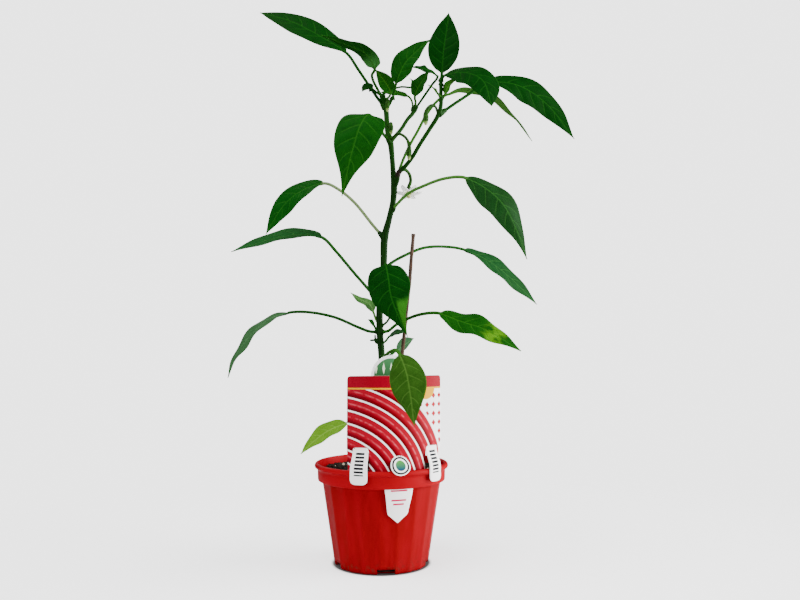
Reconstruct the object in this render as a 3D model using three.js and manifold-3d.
import * as THREE from 'three';
import Module from 'manifold-3d';

// A young chilli pepper plant in a red plastic nursery pot, with a support cane and a picture
// card that clips over the pot's rim. Millimetres, +Z up, the card's face towards -Y. The origin
// is the centre of the pot's underside.

const wasm = await Module();
wasm.setup();

// Clearance between neighbouring pieces
const GAP = 0.3;

// Pot: an outer wall of shallow flutes under a plain collar with a rolled lip
const POT_HEIGHT = 103.7;
const RIM_RADIUS = 70;
const COLLAR_RADIUS = 66.5;
const COLLAR_INNER_RADIUS = 65;
const LEDGE_HEIGHT = 86;
const LEDGE_THICKNESS = 1.6;
const BODY_TOP_RADIUS = 62.3;
const BASE_RADIUS = 48.9;
const FLOOR_THICKNESS = 2;
const WALL_THICKNESS = 1.5;
const FLUTE_COUNT = 20;
const FLUTE_DEPTH = 1.2;
const DRAIN_COUNT = 5;
const DRAIN_WIDTH = 18;
const DRAIN_HEIGHT = 5.5;
const DRAIN_DEPTH = 7;
const DRAIN_TURN = 7;

// Soil, stem root and cane foot
const SOIL_LEVEL = 96;
const SOIL_TOP_RADIUS = 63.2;
const SOIL_BUMP = 1.1;
const ROOT_DEPTH = 40;
const CANE_RADIUS = 1.6;

// Card: a curved sheet behind the rim, three flaps in front of it and a tongue through the ledge
const CARD_TURN = 17;
const CARD_RADIUS = (COLLAR_INNER_RADIUS + SOIL_TOP_RADIUS) / 2 - 0.05;
const CARD_TOP_CURVE = 80;
const CARD_COLUMNS = [-52, -44, -36, -28, -26, -21, -14, -8, -2, 5, 10, 12, 20, 28, 36, 44, 52];
const CARD_TOP = 195.5;
const CARD_ARCH_CENTRE = -8;
const CARD_ARCH_HALF = 20;
const CARD_ARCH_RISE = 20.5;
const CARD_THICKNESS = 0.7;
const FLAP_THICKNESS = 0.9;
const FLAP_REACH = RIM_RADIUS + 0.4 + FLAP_THICKNESS / 2 - CARD_RADIUS;
const FLAP_WIDTH = 15.3;
const FLAP_OFFSET = 38;
const FLAP_TOP = 126;
const FLAP_BOTTOM = 91;
const TAB_HEIGHT = 109;
const TAB_RADIUS = 9.2;
const TONGUE_TIP = 52.3;

// Leaf blades
const BLADE_THICKNESS = 0.7;
const RIB_THICKNESS = 1.3;
const STALK_RADIUS = 1.3;

const radians = THREE.MathUtils.degToRad;
const vector = (point) => new THREE.Vector3(...point);

function plastic(color, roughness) {
  return new THREE.MeshStandardMaterial({ color, roughness, metalness: 0 });
}

const MATERIALS = {
  pot: plastic(0xc8061a, 0.35),
  soil: plastic(0x1d1511, 0.95),
  stem: plastic(0x2c6a22, 0.5),
  cane: plastic(0x6b4230, 0.8),
  card: plastic(0xf2efe9, 0.4),
  leaf: plastic(0x135c1b, 0.4),
  youngLeaf: plastic(0x5c9a35, 0.45),
  petal: plastic(0xf4f5ec, 0.6),
  budTip: plastic(0xd9dfb0, 0.6),
  anther: plastic(0xc9cf7a, 0.7),
};

const group = new THREE.Group();

// Solids and meshes

// A closed body from its corner points and its triangles
function solidOf(points, triangles) {
  const vertProperties = new Float32Array(points.flatMap((p) => [p.x, p.y, p.z]));
  const triVerts = new Uint32Array(triangles.flat());
  return new wasm.Manifold(new wasm.Mesh({ numProp: 3, vertProperties, triVerts }));
}

function addPiece(name, solid, material) {
  const { vertProperties, triVerts } = solid.getMesh();
  const geometry = new THREE.BufferGeometry();
  geometry.setAttribute('position', new THREE.BufferAttribute(new Float32Array(vertProperties), 3));
  geometry.setIndex(new THREE.BufferAttribute(new Uint32Array(triVerts), 1));
  geometry.computeVertexNormals();
  const mesh = new THREE.Mesh(geometry, material);
  mesh.name = name;
  group.add(mesh);
}

// Skin over a row of rings with equal, even numbers of points, each wound to the right about the
// direction of travel. flipped(i) turns the diagonal of side i, so that two faces can match. The
// ends are closed with a strip from one half of the ring to the other.
function loft(rings, flipped = () => false) {
  const sides = rings[0].length;
  const points = rings.flat();
  const triangles = [];
  for (let k = 0; k + 1 < rings.length; k += 1) {
    for (let i = 0; i < sides; i += 1) {
      const next = (i + 1) % sides;
      const [a, b] = [k * sides + i, k * sides + next];
      const [d, c] = [a + sides, b + sides];
      if (flipped(i)) triangles.push([a, d, b], [b, d, c]);
      else triangles.push([a, c, b], [a, d, c]);
    }
  }
  const end = (rings.length - 1) * sides;
  for (let i = 0; i + 1 < sides / 2; i += 1) {
    const [a, b, c, d] = [i, i + 1, sides - 2 - i, sides - 1 - i];
    triangles.push([a, b, c], [a, c, d]);
    triangles.push([end + a, end + c, end + b], [end + a, end + d, end + c]);
  }
  return solidOf(points, triangles);
}

// Solid turned about Z from a profile of [radius, height, flute depth] rows, which runs from the
// axis round the outside and back to the axis. Every second segment is drawn in by the flute.
function turned(profile, segments, height = (r, z) => z) {
  const points = [];
  const triangles = [];
  const rows = profile.map(([radius, z, flute = 0]) => {
    const row = [];
    const count = radius > 0 ? segments : 1;
    for (let j = 0; j < count; j += 1) {
      const angle = (2 * Math.PI * j) / segments;
      const r = radius - (j % 2 ? flute : 0);
      row.push(points.length);
      points.push(new THREE.Vector3(r * Math.cos(angle), r * Math.sin(angle), height(r, z, angle)));
    }
    return row;
  });
  for (let k = 0; k + 1 < rows.length; k += 1) {
    for (let j = 0; j < segments; j += 1) {
      const next = (j + 1) % segments;
      const [a, b] = [rows[k][j % rows[k].length], rows[k][next % rows[k].length]];
      const [d, c] = [rows[k + 1][j % rows[k + 1].length], rows[k + 1][next % rows[k + 1].length]];
      if (a !== b) triangles.push([a, b, c]);
      if (c !== d) triangles.push([a, c, d]);
    }
  }
  return solidOf(points, triangles);
}

// Points at equal distances along a stretch of a curve
function spread(curve, from, to, count) {
  const fine = [];
  const steps = 240;
  for (let i = 0; i <= steps; i += 1) fine.push(curve.getPoint(from + ((to - from) * i) / steps));
  const lengths = [0];
  for (let i = 1; i <= steps; i += 1) lengths.push(lengths[i - 1] + fine[i].distanceTo(fine[i - 1]));
  const points = [];
  for (let k = 0, i = 1; k <= count; k += 1) {
    const wanted = (lengths[steps] * k) / count;
    while (i < steps && lengths[i] < wanted) i += 1;
    const share = (wanted - lengths[i - 1]) / (lengths[i] - lengths[i - 1]);
    points.push(fine[i - 1].clone().lerp(fine[i], THREE.MathUtils.clamp(share, 0, 1)));
  }
  return points;
}

function smoothCurve(waypoints) {
  return new THREE.CatmullRomCurve3(waypoints.map(vector), false, 'centripetal');
}

// Tangents of a row of points
function tangentsOf(points) {
  return points.map((p, i) => {
    const before = points[Math.max(i - 1, 0)];
    const after = points[Math.min(i + 1, points.length - 1)];
    return after.clone().sub(before).normalize();
  });
}

// Round tube along waypoints [x, y, z, radius], with the radius eased between them
function tube(waypoints, sides, step, extra = 0) {
  const curve = smoothCurve(waypoints.map(([x, y, z]) => [x, y, z]));
  const count = Math.max(3, Math.round(curve.getLength() / step));
  const places = Array.from({ length: count + 1 }, (_, k) => curve.getUtoTmapping(k / count));
  const points = places.map((t) => curve.getPoint(t));
  const tangents = tangentsOf(points);
  points[0].addScaledVector(tangents[0], -extra);
  points[count].addScaledVector(tangents[count], extra);
  let normal = new THREE.Vector3(0, -1, 0.1);
  const rings = points.map((point, k) => {
    const place = places[k] * (waypoints.length - 1);
    const i = Math.min(Math.floor(place), waypoints.length - 2);
    const radius = THREE.MathUtils.lerp(waypoints[i][3], waypoints[i + 1][3], place - i) + extra;
    normal = normal.clone().addScaledVector(tangents[k], -normal.dot(tangents[k])).normalize();
    const side = tangents[k].clone().cross(normal);
    const ring = [];
    for (let j = 0; j < sides; j += 1) {
      const angle = (-2 * Math.PI * j) / sides;
      const arm = side.clone().multiplyScalar(Math.cos(angle) * radius);
      ring.push(point.clone().add(arm).addScaledVector(normal, -Math.sin(angle) * radius));
    }
    return ring;
  });
  return loft(rings);
}

// Pot, soil and cane

function makePot() {
  const wallTop = LEDGE_HEIGHT + LEDGE_THICKNESS;
  const innerBase = BASE_RADIUS - FLUTE_DEPTH - WALL_THICKNESS;
  const innerTop = BODY_TOP_RADIUS - FLUTE_DEPTH - WALL_THICKNESS + 0.6;
  const middle = (BASE_RADIUS + BODY_TOP_RADIUS) / 2;
  let pot = turned([
    [0, 0],
    [BASE_RADIUS - 1.5, 0, FLUTE_DEPTH],
    [BASE_RADIUS, 1.5, FLUTE_DEPTH],
    [middle, LEDGE_HEIGHT / 2, FLUTE_DEPTH],
    [BODY_TOP_RADIUS, LEDGE_HEIGHT, FLUTE_DEPTH],
    [COLLAR_RADIUS - 0.6, LEDGE_HEIGHT],
    [COLLAR_RADIUS, LEDGE_HEIGHT + 0.8],
    [COLLAR_RADIUS + 0.4, POT_HEIGHT - 5.5],
    [RIM_RADIUS - 0.7, POT_HEIGHT - 4.6],
    [RIM_RADIUS, POT_HEIGHT - 3],
    [RIM_RADIUS - 0.6, POT_HEIGHT - 0.9],
    [RIM_RADIUS - 2, POT_HEIGHT],
    [COLLAR_INNER_RADIUS + 0.8, POT_HEIGHT - 0.3],
    [COLLAR_INNER_RADIUS, POT_HEIGHT - 1.6],
    [COLLAR_INNER_RADIUS, wallTop],
    [innerTop, wallTop],
    [innerBase, FLOOR_THICKNESS],
    [0, FLOOR_THICKNESS],
  ], 2 * FLUTE_COUNT);
  for (let i = 0; i < DRAIN_COUNT; i += 1) {
    const box = new THREE.BoxGeometry(DRAIN_WIDTH, DRAIN_DEPTH, DRAIN_HEIGHT + 1);
    box.translate(0, -BASE_RADIUS - 1 + DRAIN_DEPTH / 2, (DRAIN_HEIGHT - 1) / 2);
    box.rotateZ(radians(DRAIN_TURN + (360 * i) / DRAIN_COUNT));
    pot = pot.subtract(boxSolid(box));
  }
  const slot = cardSheet({
    rows: [[LEDGE_HEIGHT - 1, 16], [wallTop + 1, 16]], columns: 6, thickness: 2, reach: () => 0,
  });
  return pot.subtract(slot);
}

// A box geometry with its doubled corners merged
function boxSolid(box) {
  const source = box.getAttribute('position');
  const corners = [];
  const numbers = [];
  for (let i = 0; i < source.count; i += 1) {
    const point = new THREE.Vector3().fromBufferAttribute(source, i);
    let found = corners.findIndex((corner) => corner.distanceTo(point) < 1e-4);
    if (found < 0) found = corners.push(point) - 1;
    numbers.push(found);
  }
  const index = Array.from(box.getIndex().array);
  const triangles = [];
  for (let i = 0; i < index.length; i += 3) triangles.push(index.slice(i, i + 3).map((n) => numbers[n]));
  return solidOf(corners, triangles);
}

// The soil fills the pot, with a crumbly top and plain holes for the stem and the cane
function makeSoil() {
  const innerBase = BASE_RADIUS - FLUTE_DEPTH - WALL_THICKNESS - GAP - 0.2;
  const innerTop = BODY_TOP_RADIUS - FLUTE_DEPTH - WALL_THICKNESS + 0.6 - GAP - 0.2;
  const crumble = (r, z, angle) => {
    if (z < SOIL_LEVEL - 1) return z;
    const swell = Math.sin(3 * angle + r / 9) + Math.sin(7 * angle - r / 5) * 0.6;
    return z + SOIL_BUMP * swell * Math.sin(Math.min(r / 12, 1.5));
  };
  const ledge = LEDGE_HEIGHT + LEDGE_THICKNESS + GAP;
  let soil = turned([
    [0, FLOOR_THICKNESS + GAP],
    [innerBase, FLOOR_THICKNESS + GAP],
    [innerTop, ledge],
    [SOIL_TOP_RADIUS, ledge],
    [SOIL_TOP_RADIUS, SOIL_LEVEL - 2],
    [SOIL_TOP_RADIUS - 3, SOIL_LEVEL],
    [46, SOIL_LEVEL],
    [32, SOIL_LEVEL],
    [18, SOIL_LEVEL],
    [0, SOIL_LEVEL],
  ], 36, crumble);
  soil = soil.subtract(stemSolid(GAP + 0.1));
  return soil.subtract(caneSolid(GAP + 0.1));
}

const CANE = [
  [6, -3, SOIL_LEVEL - 42], [11, 0, 102], [18, 4, 173], [25, 8, 248], [29, 10, 286], [34, 13, 347],
];

function caneSolid(extra) {
  return tube(CANE.map((p, i) => [...p, i % 2 ? CANE_RADIUS + 0.15 : CANE_RADIUS]), 8, 20, extra);
}

// Card

// A point of the card: s along the sheet from its middle, z up, lift outwards from the sheet
function cardPoint(s, z, lift) {
  const bend = THREE.MathUtils.smoothstep(z, POT_HEIGHT + 2, POT_HEIGHT + 28);
  const curve = THREE.MathUtils.lerp(CARD_RADIUS, CARD_TOP_CURVE, bend);
  const lean = THREE.MathUtils.smoothstep(LEDGE_HEIGHT - z, 1, 20);
  const wall = THREE.MathUtils.lerp(BASE_RADIUS, BODY_TOP_RADIUS, z / LEDGE_HEIGHT) + 1;
  const distance = THREE.MathUtils.lerp(CARD_RADIUS, wall, lean);
  const angle = s / curve;
  const x = Math.sin(angle) * (curve + lift);
  const y = -distance + curve - Math.cos(angle) * (curve + lift);
  return new THREE.Vector3(x, y, z).applyAxisAngle(new THREE.Vector3(0, 0, 1), radians(CARD_TURN));
}

// A sheet on the card's surface: rows of [height, half width], lifted outwards by reach(z)
function cardSheet({ rows, columns, thickness, reach, centre = 0 }) {
  const rings = rows.map(([z, half]) => {
    const ring = [];
    for (let j = 0; j <= columns; j += 1) {
      const s = centre + half * ((2 * j) / columns - 1);
      ring.push(cardPoint(s, z, reach(z) - thickness / 2));
    }
    for (let j = columns; j >= 0; j -= 1) {
      const s = centre + half * ((2 * j) / columns - 1);
      ring.push(cardPoint(s, z, reach(z) + thickness / 2));
    }
    return ring;
  });
  return loft(rings, (i) => i < columns);
}

function makeCard() {
  const rise = (s) => {
    const share = (s - CARD_ARCH_CENTRE) / CARD_ARCH_HALF;
    return CARD_ARCH_RISE * Math.sqrt(Math.max(0, 1 - share * share));
  };
  const foot = LEDGE_HEIGHT + LEDGE_THICKNESS + GAP;
  const rings = [foot, 96, 104, 112, 121, 131, 163, CARD_TOP].map((z) => {
    const top = (s) => (z === CARD_TOP ? z + rise(s) : z);
    const inner = CARD_COLUMNS.map((s) => cardPoint(s, top(s), -CARD_THICKNESS / 2));
    const outer = CARD_COLUMNS.map((s) => cardPoint(s, top(s), CARD_THICKNESS / 2));
    return [...inner, ...outer.reverse()];
  });
  let card = loft(rings, (i) => i < CARD_COLUMNS.length - 1);
  const window = (centre, half, from, to) => cardSheet({
    rows: [[from, half], [to, half]], columns: 4, thickness: 4, reach: () => 0, centre,
  });
  const swing = (top) => (z) => FLAP_REACH * THREE.MathUtils.smoothstep(top - z, 0, top - POT_HEIGHT - 1);
  for (const side of [-1, 1]) {
    const centre = side * FLAP_OFFSET;
    card = card.subtract(window(centre, FLAP_WIDTH / 2 + 0.3, FLAP_BOTTOM + 1, FLAP_TOP - 3));
    const half = FLAP_WIDTH / 2;
    card = card.add(cardSheet({
      rows: [
        [FLAP_BOTTOM, half - 3], [FLAP_BOTTOM + 1, half - 0.8], [FLAP_BOTTOM + 3, half + 0.7],
        [FLAP_BOTTOM + 8, half + 0.4], [POT_HEIGHT + 1, half], [109, half], [114, half], [119, half],
        [FLAP_TOP - 2, half], [FLAP_TOP, half - 1],
      ],
      columns: 4, thickness: FLAP_THICKNESS, reach: swing(FLAP_TOP - 1), centre,
    }));
  }
  const tabTop = TAB_HEIGHT + TAB_RADIUS;
  card = card.subtract(window(0, TAB_RADIUS + 0.4, TAB_HEIGHT - TAB_RADIUS - 1, tabTop - 4));
  const tabRows = [-0.97, -0.86, -0.62, -0.3, 0, 0.3, 0.62, 0.86, 0.97].map((share) => [
    TAB_HEIGHT + TAB_RADIUS * share, TAB_RADIUS * Math.sqrt(1 - share * share),
  ]);
  card = card.add(cardSheet({
    rows: tabRows, columns: 6, thickness: FLAP_THICKNESS, reach: swing(tabTop - 1),
  }));
  const tongue = cardSheet({
    rows: [
      [TONGUE_TIP, 0.8], [57, 5.5], [61, 10], [70, 11.6], [78, 13], [LEDGE_HEIGHT - 1, 14.4],
      [LEDGE_HEIGHT + 2, 14.4], [foot + 4, 14.4],
    ],
    columns: 6, thickness: FLAP_THICKNESS, reach: () => 0,
  });
  return card.add(tongue);
}

// Stem

const MAIN_STEM = [
  [0, 0, SOIL_LEVEL - ROOT_DEPTH, 1.6], [0, 0, 78, 3], [0, 0, 100, 3.2], [0, 0, 130, 3],
  [0, 0, 168, 2.9], [0, 0, 213, 3.2], [-2, 0, 240, 3.2], [-2, 0, 269, 3.3], [1, 0, 290, 3],
  [2, 0, 312, 3.2], [3, 0, 341, 3.7], [8, 0, 362, 2.8], [12, 0, 380, 2.8], [13, 0, 395, 3.2],
  [12, 1, 413, 2.5], [11, 3, 428, 2.4], [9, 5, 447, 3], [6, 7, 459, 2.6], [5, 9, 472, 2.5],
  [4, 12, 485, 2.6], [1, 13, 497, 1.9], [0, 13, 503, 1.2],
];
const MIDDLE_BRANCH = [
  [9, 5, 447, 2.2], [15, 9, 455, 1.8], [21, 15, 464, 1.7], [28, 22, 477, 1.7], [34, 28, 486, 2],
  [35, 31, 493, 1.9],
];
const RIGHT_BRANCH = [
  [12, 0, 393, 2.4], [16, -3, 402, 2.4], [18, -7, 410, 2.4], [24, -11, 415, 2], [32, -15, 424, 1.8],
  [41, -21, 438, 1.8], [50, -26, 451, 1.8], [59, -30, 465, 2], [62, -33, 475, 1.8],
  [62, -34, 488, 1.6], [62, -34, 503, 1.6],
];
const TOP_SHOOT = [[4, 12, 485, 1.7], [8, 10, 491, 1.6], [11, 9, 497, 1.4]];
const STUBS = [
  [[-1, 0, 228, 1.2], [-6, -3, 231, 0.9], [-12, -7, 231, 0.6]],
  [[-1, 0, 228, 1], [-6, -2, 229, 0.9], [-7, -2, 237, 0.5]],
  [[10, 0, 381, 1], [13, -2, 384, 0.9], [15, -3, 388, 0.6]],
];

function stemSolid(extra = 0) {
  const branches = [MIDDLE_BRANCH, RIGHT_BRANCH, TOP_SHOOT, ...STUBS].map((b) => tube(b, 6, 9, extra));
  return branches.reduce((whole, branch) => whole.add(branch), tube(MAIN_STEM, 8, 12, extra));
}

// Leaves

// Share of the full width along a blade, from 0 at its base to 0 at its tip: u to the power
// swell times (1 - u) to the power taper, scaled to 1 at its widest
function widthShare(u, swell, taper) {
  const widest = swell / (swell + taper);
  return (u ** swell * (1 - u) ** taper) / (widest ** swell * (1 - widest) ** taper);
}

// Ten-point ring of a blade: five points on the upper side from left to right, then five back
// along the lower side. The halves rise by the fold and the margins wave.
function bladeRing(leaf, point, tangent, normal, u) {
  const side = tangent.clone().cross(normal);
  const share = widthShare(u, leaf.swell, leaf.taper);
  const half = Math.max((leaf.width / 2) * share, 0.45);
  const rib = THREE.MathUtils.lerp(RIB_THICKNESS, BLADE_THICKNESS, u);
  const upper = [];
  const lower = [];
  for (const column of [-1, -0.5, 0, 0.5, 1]) {
    const phase = 2 * Math.PI * leaf.waves * u + (column < 0 ? 1.3 : 0) + leaf.phase;
    const rise = Math.abs(column) * half * Math.sin(radians(leaf.fold))
      + leaf.wave * column * column * share * Math.sin(phase);
    const middle = point.clone().addScaledVector(side, column * half * Math.cos(radians(leaf.fold)));
    const depth = column === 0 ? rib : BLADE_THICKNESS;
    upper.push(middle.clone().addScaledVector(normal, rise + BLADE_THICKNESS / 2));
    lower.push(middle.clone().addScaledVector(normal, rise + BLADE_THICKNESS / 2 - depth));
  }
  return [...upper, ...lower.reverse()];
}

// Ten-point ring of a round stalk that starts at the left like the blade's ring
function stalkRing(point, tangent, normal, radius) {
  const side = tangent.clone().cross(normal);
  const ring = [];
  for (let i = 0; i < 10; i += 1) {
    const angle = radians(162 - 36 * i);
    const arm = side.clone().multiplyScalar(Math.cos(angle) * radius);
    ring.push(point.clone().add(arm).addScaledVector(normal, Math.sin(angle) * radius));
  }
  return ring;
}

function leafSolid(leaf) {
  const curve = smoothCurve([...leaf.stalk, ...leaf.blade]);
  const joint = leaf.stalk.length / (leaf.stalk.length + leaf.blade.length - 1);
  const stalk = spread(curve, 0, joint, leaf.stalkSteps);
  const blade = spread(curve, joint, 1, leaf.bladeSteps);
  const points = [...stalk, ...blade.slice(1)];
  const tangents = tangentsOf(points);
  const [base, tip] = leaf.faces.map(vector);
  const square = (normal, tangent) => (
    normal.clone().addScaledVector(tangent, -normal.dot(tangent)).normalize()
  );
  const normals = [];
  for (let k = leaf.stalkSteps; k < points.length; k += 1) {
    const u = (k - leaf.stalkSteps) / leaf.bladeSteps;
    const face = base.clone().normalize().lerp(tip.clone().normalize(), Math.min(u / leaf.turnBy, 1));
    normals[k] = square(face, tangents[k]);
  }
  for (let k = leaf.stalkSteps - 1; k >= 0; k -= 1) normals[k] = square(normals[k + 1], tangents[k]);
  const rings = points.map((point, k) => {
    const u = (k - leaf.stalkSteps) / leaf.bladeSteps;
    const thick = leaf.stalkRadius * (k === 0 ? 1.3 : 1);
    const round = stalkRing(point, tangents[k], normals[k], thick);
    if (u <= 0) return round;
    const flat = bladeRing(leaf, point, tangents[k], normals[k], u);
    const share = THREE.MathUtils.smoothstep(u, 0, 1.5 / leaf.bladeSteps);
    return round.map((p, i) => p.clone().lerp(flat[i], share));
  });
  rings.forEach((ring) => ring.reverse());
  return loft(rings, (i) => i > 4 && i < 9);
}

// The leaves in order from the top. stalk and blade are points on the midline, faces are the way
// the upper side looks at the blade's base and at its tip, fold lifts the two halves in degrees.
const LARGE = {
  swell: 0.75, taper: 1.15, fold: 0, wave: 1.6, waves: 2.5, phase: 0, turnBy: 1,
  stalkSteps: 8, bladeSteps: 14, stalkRadius: STALK_RADIUS, material: MATERIALS.leaf,
};
const MEDIUM = { ...LARGE, stalkSteps: 5, bladeSteps: 10, wave: 1, stalkRadius: 1.1 };
const SMALL = {
  ...LARGE, stalkSteps: 3, bladeSteps: 6, wave: 0.4, stalkRadius: 0.85, material: MATERIALS.youngLeaf,
};

const LEAVES = [
  {
    ...LARGE, width: 42, swell: 0.85, taper: 1.1,
    stalk: [[3, 12, 486], [-6, 13, 499], [-15, 15, 513], [-27, 18, 532]],
    blade: [[-40, 22, 552], [-69, 30, 574], [-104, 40, 596], [-143, 52, 612]],
    faces: [[0.3, -0.7, 0.6], [0.2, -0.8, 0.4]],
  },
  {
    ...MEDIUM, width: 24, swell: 0.3, taper: 0.9, turnBy: 0.3,
    stalk: [[1, 12, 496], [-5, 5, 505], [-9, 1, 514], [-10, -2, 521]],
    blade: [[-8, -5, 527], [-22, -13, 537], [-40, -19, 545], [-64, -26, 553]],
    faces: [[0.2, 0.6, 0.8], [0.1, 0.2, 1]],
  },
  {
    ...SMALL, width: 13, swell: 0.5, material: MATERIALS.leaf,
    stalk: [[0, 13, 500], [-6, 10, 503]],
    blade: [[-10, 8, 506], [-16, 6, 508], [-22, 3, 502]],
    faces: [[0, -0.8, 0.6], [-0.4, -0.8, 0.4]],
  },
  {
    ...SMALL, width: 17, fold: 14, swell: 0.6, bladeSteps: 8, material: MATERIALS.leaf,
    stalk: [[2, 12, 495], [8, 7, 498]],
    blade: [[9, 3, 502], [3, -3, 511], [-7, -9, 522]],
    faces: [[-0.1, -1, 0.1], [-0.2, -0.9, 0]],
  },
  {
    ...MEDIUM, width: 32, fold: 6,
    stalk: [[11, 9, 495], [13, 8, 502]],
    blade: [[15, 6, 511], [24, 0, 531], [37, -6, 543], [52, -14, 553]],
    faces: [[-0.5, -0.9, 0.3], [-0.2, -0.9, 0.5]],
  },
  {
    ...SMALL, width: 12, bladeSteps: 8, swell: 0.6, taper: 0.8, material: MATERIALS.leaf,
    stalk: [[34, 29, 489], [33, 26, 498]],
    blade: [[29, 23, 503], [16, 17, 505], [-2, 15, 505]],
    faces: [[0.1, -0.8, 0.6], [0, -0.7, 0.7]],
  },
  {
    ...SMALL, width: 12, material: MATERIALS.leaf,
    stalk: [[1, 12, 498], [3, 20, 506], [20, 32, 517]],
    blade: [[32, 36, 518], [38, 46, 526], [31, 58, 536]],
    faces: [[0, -0.1, 1], [0, 0.1, 1]],
  },
  {
    ...MEDIUM, width: 22, fold: 10, stalkSteps: 3, bladeSteps: 8, stalkRadius: 0.95,
    stalk: [[36, 31, 493], [37, 28, 498]],
    blade: [[36, 25, 503], [41, 21, 515], [52, 18, 530]],
    faces: [[-0.6, -0.8, 0.3], [-0.5, -0.8, 0.5]],
  },
  {
    ...MEDIUM, width: 19, bladeSteps: 7, stalkRadius: 0.95,
    stalk: [[35, 29, 488], [44, 20, 499], [54, 7, 510]],
    blade: [[60, -5, 516], [49, -16, 519], [32, -22, 520]],
    faces: [[0.1, -0.7, 0.7], [0, -0.7, 0.7]],
  },
  {
    ...MEDIUM, width: 33, fold: 6, stalkSteps: 2, bladeSteps: 12, wave: 1.2,
    stalk: [[62, -34, 500]],
    blade: [[63, -34, 508], [65, -33, 533], [68, -30, 554], [71, -26, 577]],
    faces: [[-0.1, -1, 0], [0, -0.9, 0.4]],
  },
  {
    ...MEDIUM, width: 37, fold: -6, swell: 0.5, stalkSteps: 3, bladeSteps: 12, wave: 1.2,
    stalk: [[62, -34, 496], [63, -37, 501]],
    blade: [[65, -40, 505], [84, -48, 506], [103, -58, 494], [111, -66, 465]],
    faces: [[0, -0.4, 0.9], [0.4, -0.9, 0.3]],
  },
  {
    ...LARGE, width: 42, fold: -6,
    stalk: [[60, -30, 466], [78, -18, 482], [100, -2, 500], [115, 8, 513]],
    blade: [[127, 14, 519], [153, 22, 515], [184, 27, 496], [214, 26, 456]],
    faces: [[0, -0.7, 0.6], [0.3, -0.9, 0.2]],
  },
  {
    ...LARGE, width: 28, material: MATERIALS.youngLeaf,
    stalk: [[15, 0, 403], [22, 5, 425], [30, 9, 444], [39, 16, 462], [49, 24, 483], [61, 30, 500]],
    blade: [[71, 33, 508], [94, 36, 515], [124, 38, 506], [147, 37, 486], [168, 32, 455]],
    faces: [[0, -0.05, 1], [0.5, 0, 0.9]],
  },
  {
    ...SMALL, width: 13, fold: 15,
    stalk: [[62, -33, 478], [64, -33, 482]],
    blade: [[66, -34, 486], [71, -38, 495], [80, -43, 501]],
    faces: [[-0.5, -0.8, 0.4], [-0.3, -0.6, 0.7]],
  },
  {
    ...SMALL, width: 9,
    stalk: [[62, -34, 484], [60, -38, 484]],
    blade: [[58, -40, 486], [54, -44, 490], [48, -47, 492]],
    faces: [[0, -0.5, 0.9], [0, -0.5, 0.9]],
  },
  {
    ...LARGE, width: 40, fold: -14,
    stalk: [[11, 0, 371], [17, -6, 377], [28, -14, 386], [43, -22, 392], [65, -32, 398]],
    blade: [[85, -38, 398], [106, -45, 385], [123, -52, 366], [135, -56, 338], [146, -58, 311]],
    faces: [[0, -0.8, 0.7], [0.5, -0.9, 0.1]],
  },
  {
    ...LARGE, width: 34,
    stalk: [[3, 0, 308], [12, 8, 316], [26, 20, 325], [47, 36, 335], [71, 50, 338]],
    blade: [[93, 60, 336], [119, 68, 326], [146, 75, 307], [180, 80, 274]],
    faces: [[0.2, -0.3, 0.9], [0.5, -0.5, 0.7]],
  },
  {
    ...LARGE, width: 38, swell: 0.9, taper: 0.9, wave: 2.2,
    stalk: [[-1, 0, 240], [7, -8, 241], [15, -18, 247], [25, -28, 252], [40, -38, 257]],
    blade: [[58, -46, 258], [79, -53, 250], [104, -60, 241], [138, -66, 220]],
    faces: [[0, -0.5, 0.8], [0.3, -0.6, 0.7]],
  },
  {
    ...LARGE, width: 47, swell: 0.38, taper: 1.1, fold: -6, stalkSteps: 6,
    stalk: [[9, 5, 446], [1, -6, 453], [-6, -22, 459]],
    blade: [[-13, -40, 462], [-20, -55, 448], [-27, -62, 420], [-37, -66, 377]],
    faces: [[-0.1, -0.8, 0.6], [0.1, -1, 0.1]],
  },
  {
    ...LARGE, width: 43, swell: 0.55, taper: 1.5, fold: -8, stalkSteps: 6,
    stalk: [[-2, 0, 269], [0, -14, 282], [3, -32, 298]],
    blade: [[5, -46, 307], [8, -56, 292], [11, -60, 273], [26, -60, 238]],
    faces: [[0, -0.7, 0.7], [0, -1, 0.1]],
  },
  {
    ...LARGE, width: 36,
    stalk: [[2, 0, 341], [-10, 8, 356], [-31, 18, 383], [-49, 26, 399]],
    blade: [[-65, 32, 407], [-88, 38, 402], [-111, 44, 386], [-133, 48, 352]],
    faces: [[0, -0.6, 0.8], [-0.3, -0.8, 0.3]],
  },
  {
    ...LARGE, width: 32,
    stalk: [[-2, 0, 271], [-14, -10, 285], [-29, -18, 302], [-46, -28, 322]],
    blade: [[-60, -36, 336], [-79, -42, 340], [-109, -50, 334], [-149, -56, 319]],
    faces: [[0, 0.1, 1], [0, 0.3, 1]],
  },
  {
    ...LARGE, width: 34, wave: 2, bladeSteps: 15,
    stalk: [[-2, 0, 240], [-14, 10, 241], [-27, 20, 246], [-53, 32, 257], [-82, 42, 263]],
    blade: [[-106, 50, 263], [-131, 55, 255], [-154, 59, 234], [-169, 61, 212], [-177, 62, 189]],
    faces: [[0, -0.5, 1], [-0.7, -0.5, 0.6]],
  },
  {
    ...LARGE, width: 34, fold: -6,
    stalk: [[0, 0, 213], [4, -18, 220], [9, -44, 223], [15, -66, 222]],
    blade: [[19, -80, 217], [25, -86, 202], [29, -89, 181], [33, -90, 150]],
    faces: [[0, -0.8, 0.6], [0, -1, 0.1]],
  },
  {
    ...MEDIUM, width: 24, fold: 8, material: MATERIALS.youngLeaf,
    stalk: [[0, 0, 160], [-9, -8, 154], [-22, -16, 149]],
    blade: [[-34, -22, 146], [-51, -26, 140], [-66, -29, 130], [-81, -32, 116]],
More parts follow.
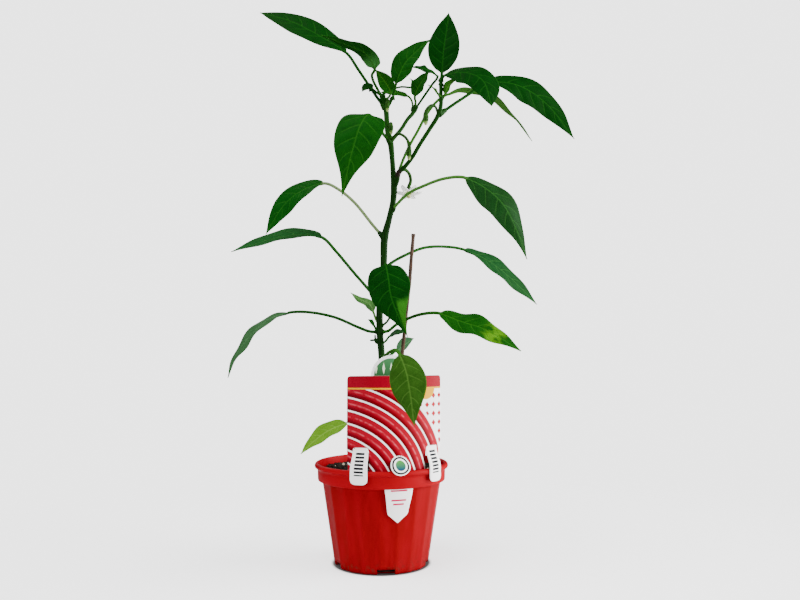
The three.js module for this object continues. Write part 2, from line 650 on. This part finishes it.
    faces: [[-0.2, -0.6, 0.8], [-0.3, -0.6, 0.7]],
  },
  {
    ...SMALL, width: 12, bladeSteps: 7,
    stalk: [[-2, 0, 246], [-6, 3, 253]],
    blade: [[-9, 6, 261], [-13, 8, 270], [-25, 12, 276], [-34, 16, 283]],
    faces: [[-0.3, -0.5, 0.7], [0, -0.5, 0.9]],
  },
  {
    ...SMALL, width: 8, stalkSteps: 2, bladeSteps: 5, material: MATERIALS.leaf,
    stalk: [[-2, 0, 240], [-6, -3, 243]],
    blade: [[-8, -5, 247], [-10, -7, 250], [-14, -9, 253]],
    faces: [[0, -0.6, 0.7], [0, -0.6, 0.7]],
  },
  {
    ...SMALL, width: 9, bladeSteps: 5, material: MATERIALS.leaf,
    stalk: [[-1, 0, 246], [5, -4, 250]],
    blade: [[9, -8, 256], [11, -11, 262], [15, -13, 269]],
    faces: [[0, -0.8, 0.5], [0, -0.8, 0.5]],
  },
  {
    ...SMALL, width: 11, material: MATERIALS.leaf,
    stalk: [[-1, 0, 227], [4, -3, 230]],
    blade: [[8, -5, 235], [14, -8, 239], [26, -12, 240]],
    faces: [[0, -0.5, 0.9], [0, -0.5, 0.9]],
  },
  {
    ...SMALL, width: 20, fold: 8, stalkRadius: 0.9, bladeSteps: 8, material: MATERIALS.leaf,
    stalk: [[0, 0, 212], [6, 9, 214], [12, 19, 218]],
    blade: [[17, 27, 222], [25, 37, 228], [36, 50, 234]],
    faces: [[-0.2, 0.6, 0.8], [0.1, 0.7, 0.8]],
  },
];

// Buds and the open flower

// A nodding bud: a stalk that swells into the calyx, given as [x, y, z, radius], and under it
// the closed pale petals
function bud(name, stalk) {
  const [x, y, z, radius] = stalk[stalk.length - 1];
  const petals = [[0, 0.8], [1.4, 0.85], [2.8, 0.7], [4, 0.3]];
  const tip = petals.map(([drop, share]) => [x, y, z - GAP - drop, radius * share]);
  addPiece(`${name}_calyx`, tube(stalk, 6, 2.8).subtract(stemSleeve), MATERIALS.youngLeaf);
  addPiece(`${name}_tip`, tube(tip, 6, 1.4), MATERIALS.budTip);
}

const FLOWER = new THREE.Vector3(29, 6, 392);
const FLOWER_TILT = 22;
const PETAL_COUNT = 6;
const COROLLA_RADIUS = 13.5;

const FLOWER_AXIS = new THREE.Vector3(0, 0, 1)
  .applyAxisAngle(new THREE.Vector3(1, 0, 0), radians(-FLOWER_TILT));
const FLOWER_STALK = [
  [18, -7, 410, 1.1], [21, -3, 414, 1], [26, 3, 415, 1], [30, 8, 411, 1], [31, 9, 404, 1],
];

// Flower stalk and calyx, which ends square to the flower's axis just above the corolla
function makeCalyx() {
  const end = [[6, 1], [3, 2.4], [-0.42, 2.2]].map(([height, radius]) => (
    [...FLOWER.clone().addScaledVector(FLOWER_AXIS, height).toArray(), radius]
  ));
  return tube([...FLOWER_STALK, ...end], 6, 3);
}

// Corolla: a nodding star of joined petals whose points bend back
function makeCorolla() {
  const segments = 4 * PETAL_COUNT;
  const shares = [0.2, 0.45, 0.7, 1];
  const ringAt = (share, lift) => {
    const ring = [];
    for (let j = 0; j < segments; j += 1) {
      const angle = (-2 * Math.PI * j) / segments;
      const lobe = 0.5 + 0.5 * Math.cos(PETAL_COUNT * angle);
      const reach = COROLLA_RADIUS * share * THREE.MathUtils.lerp(1, 0.5 + 0.5 * lobe, share);
      const drop = -2.6 * Math.sin(share * 2.2) + 1.6 * share * share * lobe;
      ring.push(new THREE.Vector3(reach * Math.cos(angle), reach * Math.sin(angle), drop + lift));
    }
    return ring;
  };
  const below = shares.map((share) => ringAt(share, -0.35));
  const above = shares.map((share) => ringAt(share, 0.35)).reverse();
  return placed(loft([...below, ...above]), FLOWER);
}

// Ovary and stamens: a lobed knob under the corolla
function makeAnthers() {
  const rows = [[-9, 1], [-8, 2.1], [-5.6, 2.4], [-3, 1.6], [-1.8, 0.9]];
  const rings = rows.map(([z, radius]) => {
    const ring = [];
    for (let j = 0; j < 12; j += 1) {
      const angle = (-2 * Math.PI * j) / 12;
      const reach = radius * (j % 2 ? 0.72 : 1);
      ring.push(new THREE.Vector3(reach * Math.cos(angle), reach * Math.sin(angle), z));
    }
    return ring;
  });
  return placed(loft(rings), FLOWER);
}

// A solid moved from the origin to a place, nodding towards the front
function placed(solid, place) {
  const { vertProperties, triVerts } = solid.getMesh();
  const points = [];
  for (let i = 0; i < vertProperties.length; i += 3) {
    const point = new THREE.Vector3().fromArray(vertProperties, i);
    points.push(point.applyAxisAngle(new THREE.Vector3(1, 0, 0), radians(-FLOWER_TILT)).add(place));
  }
  const triangles = [];
  for (let i = 0; i < triVerts.length; i += 3) triangles.push(Array.from(triVerts.slice(i, i + 3)));
  return solidOf(points, triangles);
}

// Assembly

const stemSleeve = stemSolid(GAP + 0.05);

addPiece('pot', makePot(), MATERIALS.pot);
addPiece('soil', makeSoil(), MATERIALS.soil);
addPiece('stem', stemSolid(), MATERIALS.stem);
addPiece('cane', caneSolid(0), MATERIALS.cane);
addPiece('card', makeCard(), MATERIALS.card);
LEAVES.forEach((leaf, i) => {
  const name = `leaf_${String(i + 1).padStart(2, '0')}`;
  addPiece(name, leafSolid(leaf).subtract(stemSleeve), leaf.material);
});

bud('bud_1', [
  [59, -30, 468, 1.1], [56, -35, 473, 1], [52, -39, 473, 1], [48, -41, 469, 1.1],
  [46, -41, 464, 1.7], [46, -41, 460, 2.7], [46, -41, 456, 2.4],
]);
bud('bud_2', [
  [9, 5, 446, 1.2], [15, -4, 452, 1.1], [21, -12, 450, 1.1], [27, -18, 443, 1.1],
  [29, -20, 436, 1.6], [29, -20, 429, 2.5], [29, -20, 425, 2.2],
]);
bud('bud_3', [
  [6, 7, 460, 1], [9, 1, 466, 1], [10, -2, 465, 1.3], [10, -3, 461, 2.3], [10, -3, 457, 2],
]);
bud('bud_4', [
  [4, 11, 489, 1], [6, 6, 495, 1], [6, 3, 493, 1.3], [6, 1, 488, 2.3], [6, 1, 483, 2],
]);

addPiece('flower_calyx', makeCalyx().subtract(stemSleeve), MATERIALS.youngLeaf);
addPiece('flower_corolla', makeCorolla(), MATERIALS.petal);
addPiece('flower_anthers', makeAnthers(), MATERIALS.anther);

export default group;
